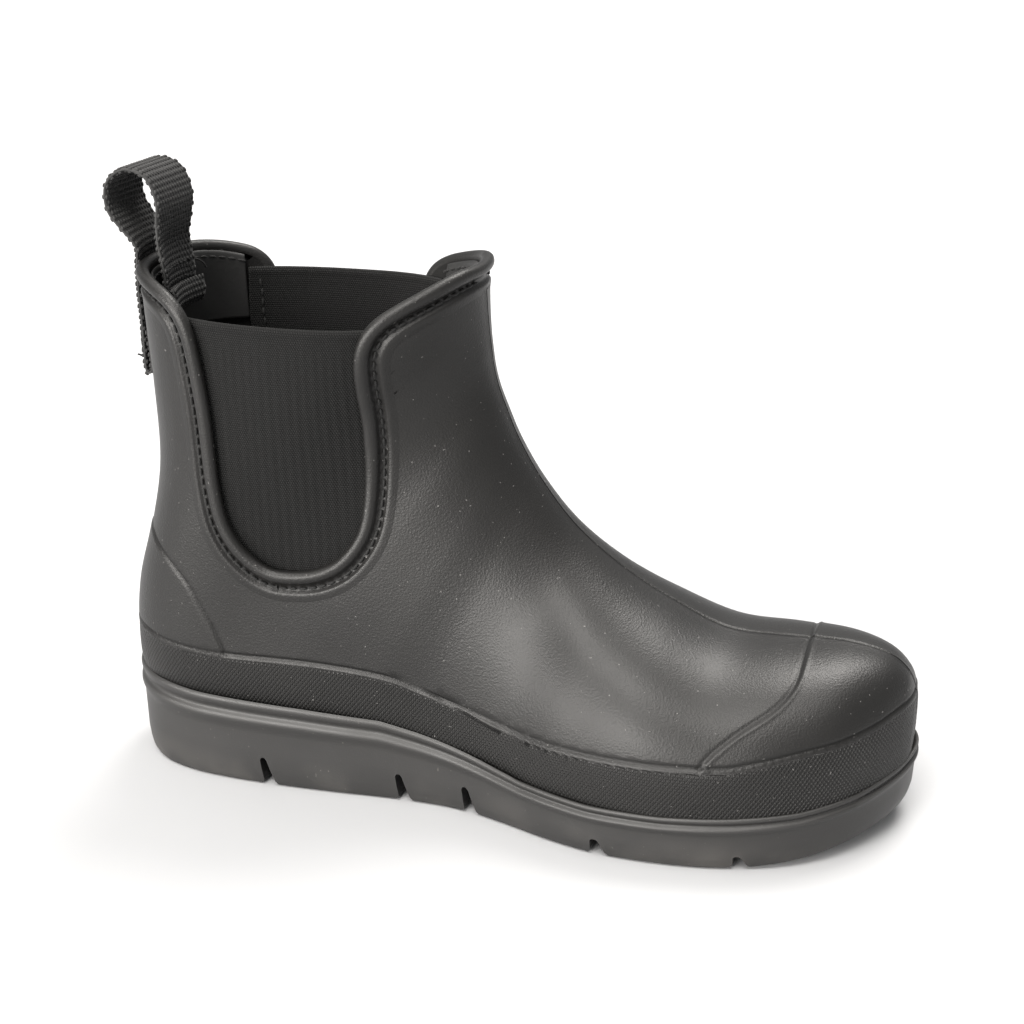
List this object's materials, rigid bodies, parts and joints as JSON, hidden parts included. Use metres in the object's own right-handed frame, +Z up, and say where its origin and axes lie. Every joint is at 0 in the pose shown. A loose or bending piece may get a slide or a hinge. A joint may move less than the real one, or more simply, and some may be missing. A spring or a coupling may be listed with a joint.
{
  "type": "rain boot",
  "caption": "Ankle-height slip-on rubber rain boot with elastic side gores, webbing pull loop at the heel and a lugged cup sole.",
  "frame": {"origin": "middle of the boot's footprint on the ground", "axes": "+X to the toe, +Y to the inner side of the foot (this is a right boot), +Z up from the ground"},
  "size_m": [0.2811, 0.1031, 0.212],
  "materials": {
    "upper_rubber": "satin, fine leather grain",
    "sole_rubber": "matt, smooth side wall",
    "gore_elastic": "matt, fine diagonal knit",
    "collar_facing": "smooth, dull",
    "thread": "twisted sewing thread",
    "webbing": "coarse cross rib",
    "footbed_foam": "matt foam",
    "footbed_cloth": "brushed knit"
  },
  "bodies": {
    "boot": {"upper_shell": "upper_rubber", "outsole": "sole_rubber", "gore_lateral": "gore_elastic", "gore_medial": "gore_elastic", "seam_thread_lateral": "thread", "seam_thread_medial": "thread", "facing_rear": "collar_facing", "facing_front": "collar_facing", "facing_thread_rear": "thread", "facing_thread_front": "thread", "pull_loop_outer_tail": "webbing", "pull_loop_inner_tail": "webbing", "loop_stitch_outer": "thread", "loop_stitch_inner": "thread"},
    "pull_loop": {"pull_loop_bow": "webbing"},
    "insole": {"insole_foam": "footbed_foam", "insole_cover": "footbed_cloth"}
  },
  "joints": [
    {"name": "pull_loop_swing", "type": "hinge", "parent": "boot", "child": "pull_loop", "pos_m": [-0.1282, 0.0054, 0.1836], "axis": [0, 1, 0], "range_deg": [-40, 40], "stiffness_Nm_per_rad": 0.02},
    {"name": "insole_lift", "type": "hinge", "parent": "boot", "child": "insole", "pos_m": [0.1219, 0.0054, 0.0168], "axis": [0, 1, 0], "range_deg": [0, 8]}
  ]
}
